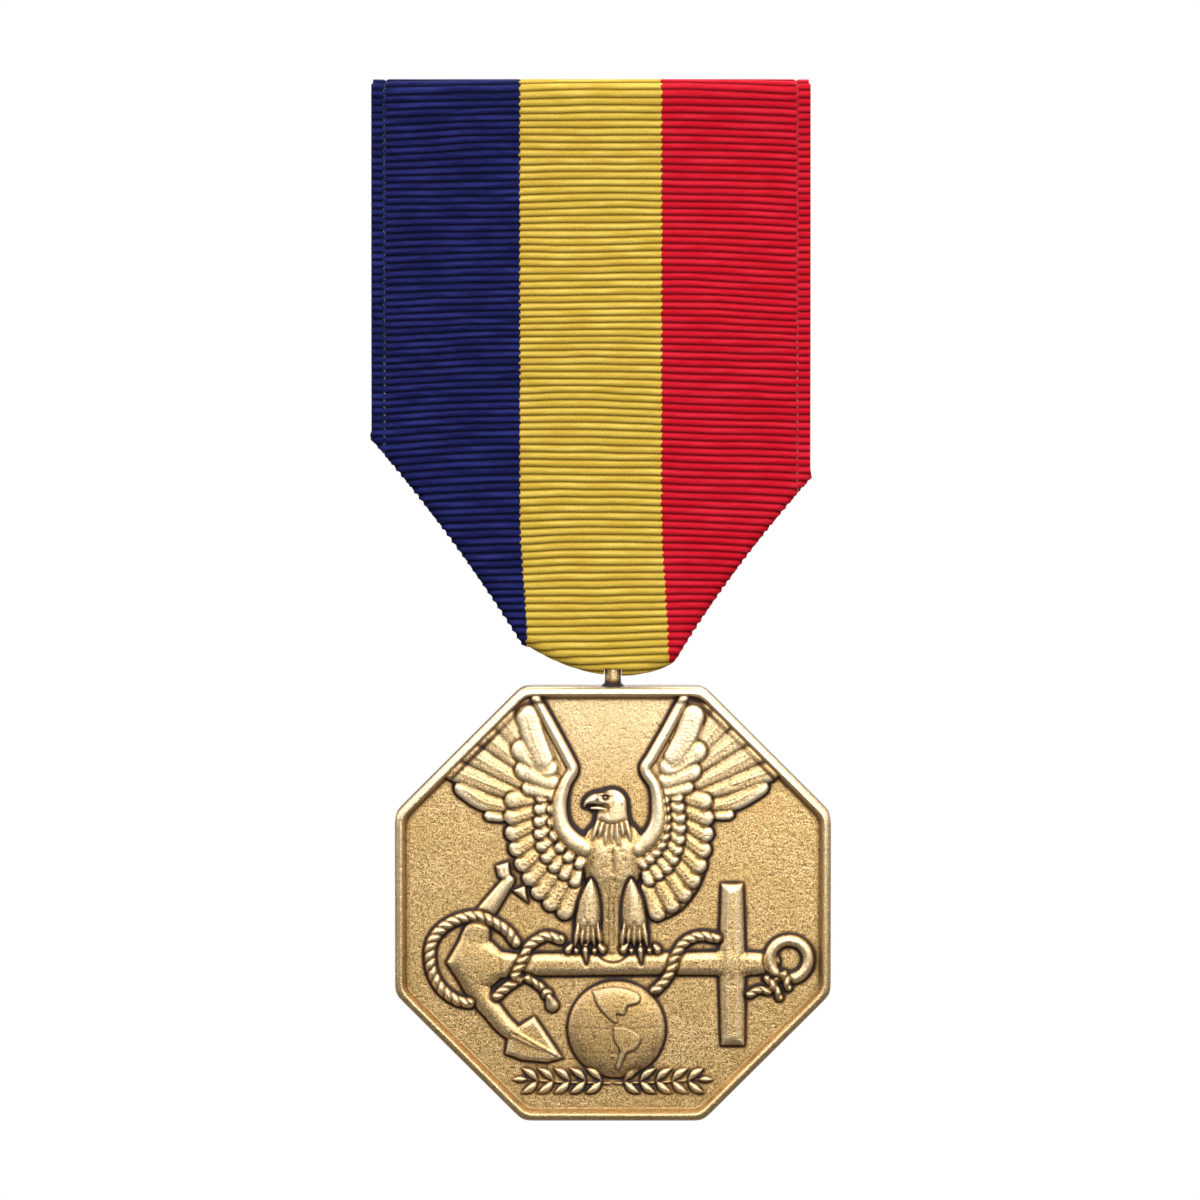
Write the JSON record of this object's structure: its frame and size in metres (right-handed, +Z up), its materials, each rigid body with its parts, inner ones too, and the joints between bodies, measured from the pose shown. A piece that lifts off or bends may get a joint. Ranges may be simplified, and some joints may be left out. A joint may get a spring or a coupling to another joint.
{
  "type": "military service medal",
  "caption": "Octagonal bronze service medal hung from a tricolour ribbon by a T-bar, with a hinged brooch pin and a turning safety catch on the back.",
  "frame": {"origin": "on the brooch pin's axis, at the ribbon's centre line; the medal hangs below it", "axes": "+Z up, +X to the right as seen from the front, the front faces -Y and the pin is on the +Y side"},
  "size_m": [0.0367, 0.0069, 0.0831],
  "materials": {
    "antique_bronze": "antiqued bronze, dark in the recesses",
    "brooch_brass": "satin brass",
    "pin_steel": "drawn wire",
    "ribbon_fabric": "ribbed moire weave in blue, yellow and red stripes",
    "thread": "twisted thread"
  },
  "bodies": {
    "brooch_and_ribbon": {"ribbon": "ribbon_fabric", "lap_stitches": "thread", "fold_stitches": "thread", "brooch_plate": "brooch_brass", "hinge_bracket": "brooch_brass", "hinge_rivet": "pin_steel", "catch_housing": "brooch_brass"},
    "pendant": {"planchet": "antique_bronze", "suspension_bar": "antique_bronze"},
    "pin": {"brooch_pin": "pin_steel"},
    "lock": {"catch_lock": "brooch_brass"}
  },
  "joints": [
    {"name": "pendant_swing", "type": "hinge", "parent": "brooch_and_ribbon", "child": "pendant", "pos_m": [0.00175, -0.00347, -0.04105], "axis": [1, 0, 0], "range_deg": [-60, 60]},
    {"name": "pin_hinge", "type": "hinge", "parent": "brooch_and_ribbon", "child": "pin", "pos_m": [0.0125, 0, 0], "axis": [0, 0, -1], "range_deg": [0, 100]},
    {"name": "catch_turn", "type": "hinge", "parent": "brooch_and_ribbon", "child": "lock", "pos_m": [-0.0125, 0, 0], "axis": [-1, 0, 0], "range_deg": [0, 100]}
  ]
}
